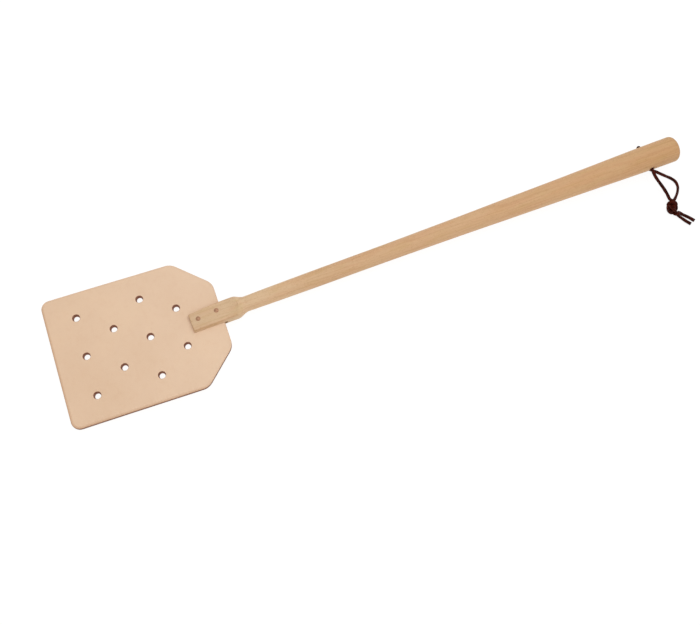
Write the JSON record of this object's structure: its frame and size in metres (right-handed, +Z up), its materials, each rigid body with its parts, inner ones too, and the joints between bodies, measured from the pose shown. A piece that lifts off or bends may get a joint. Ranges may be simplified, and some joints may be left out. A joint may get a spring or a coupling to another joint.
{
  "type": "fly swatter",
  "caption": "Hand fly swatter: punched stiff leather flap pinned in the slotted head of a long turned wooden handle, with a knotted thong through the butt for hanging.",
  "frame": {"origin": "centre of the outline seen from above, thong left out, on the surface that the swatter lies on", "axes": "+X along the handle from the flap to the butt, level with the surface; +Y across the flap, away from the thong's knot; +Z up from the surface, through the flap's smooth side. The handle's own axis climbs 0.79 degrees towards the butt, because the swatter lies on its head and on the thong under its butt."},
  "size_m": [0.4388, 0.099, 0.0199],
  "materials": {
    "wood": "fine-sanded oiled beech, satin",
    "flap_leather": "natural undyed vegetable-tanned leather, smooth side up, raw cut edges",
    "pin_copper": "dulled copper-brown metal, flush with the wood",
    "thong_leather": "dark reddish-brown lace, slightly waxed"
  },
  "bodies": {
    "handle": {"handle": "wood", "pin_front": "pin_copper", "pin_rear": "pin_copper", "flap_root": "flap_leather", "thong_bight": "thong_leather"},
    "flap": {"flap_blade": "flap_leather"},
    "thong": {"thong_strand_raised": "thong_leather", "thong_strand_bowed": "thong_leather", "thong_knot": "thong_leather", "thong_tail_long": "thong_leather", "thong_tail_short": "thong_leather"}
  },
  "joints": [
    {"name": "flap_flex", "type": "hinge", "parent": "handle", "child": "flap", "pos_m": [-0.13509, -0.00169, 0.00621], "axis": [0, 1, 0], "range_deg": [-30, 30], "stiffness_Nm_per_rad": 1.2},
    {"name": "thong_swing", "type": "hinge", "parent": "handle", "child": "thong", "pos_m": [0.19651, -0.00609, 0], "axis": [0, 0, 1], "range_deg": [-35, 35]}
  ]
}
